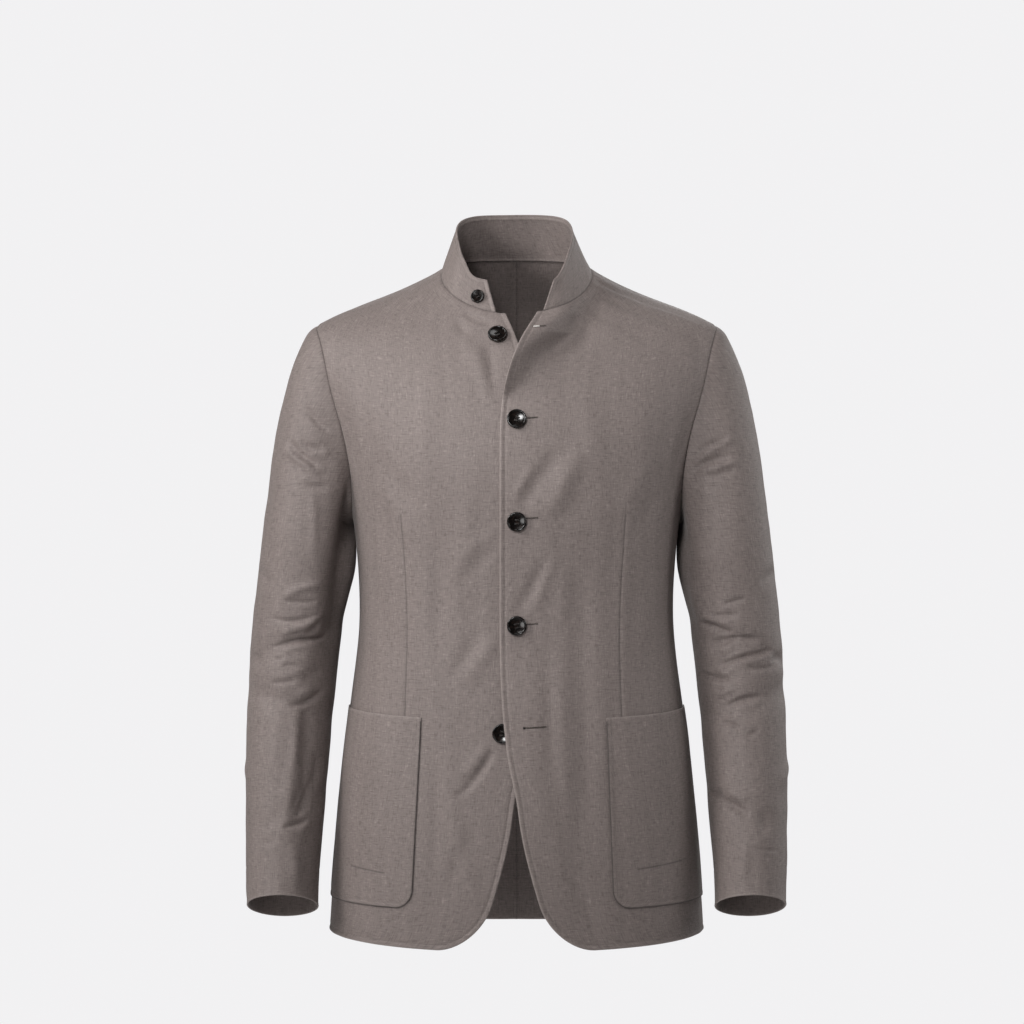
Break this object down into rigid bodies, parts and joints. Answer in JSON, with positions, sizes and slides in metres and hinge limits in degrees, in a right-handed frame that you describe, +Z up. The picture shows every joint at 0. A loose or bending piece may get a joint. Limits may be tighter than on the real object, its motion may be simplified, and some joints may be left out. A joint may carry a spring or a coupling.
{
  "type": "band-collar jacket",
  "caption": "Unlined linen jacket with a standing band collar, patch pockets and a cutaway front, worn open at the neck, held in its hollow worn form.",
  "frame": {"origin": "middle of the neck opening, level with the points where the shoulder seams meet the collar", "axes": "+Z up, the front faces -Y, the wearer's left arm is at +X"},
  "size_m": [0.5932, 0.2869, 0.7961],
  "materials": {
    "linen": "plain-woven taupe linen",
    "horn": "polished dark horn look"
  },
  "bodies": {
    "root": {"front_left": "linen", "front_right": "linen", "back_left": "linen", "back_right": "linen", "sleeve_left_top": "linen", "sleeve_left_under": "linen", "sleeve_right_top": "linen", "sleeve_right_under": "linen", "collar": "linen", "pocket_left": "linen", "pocket_right": "linen", "button_collar": "horn", "button_neck": "horn", "button_chest": "horn", "button_middle": "horn", "button_waist": "horn", "button_low": "horn"}
  },
  "joints": []
}
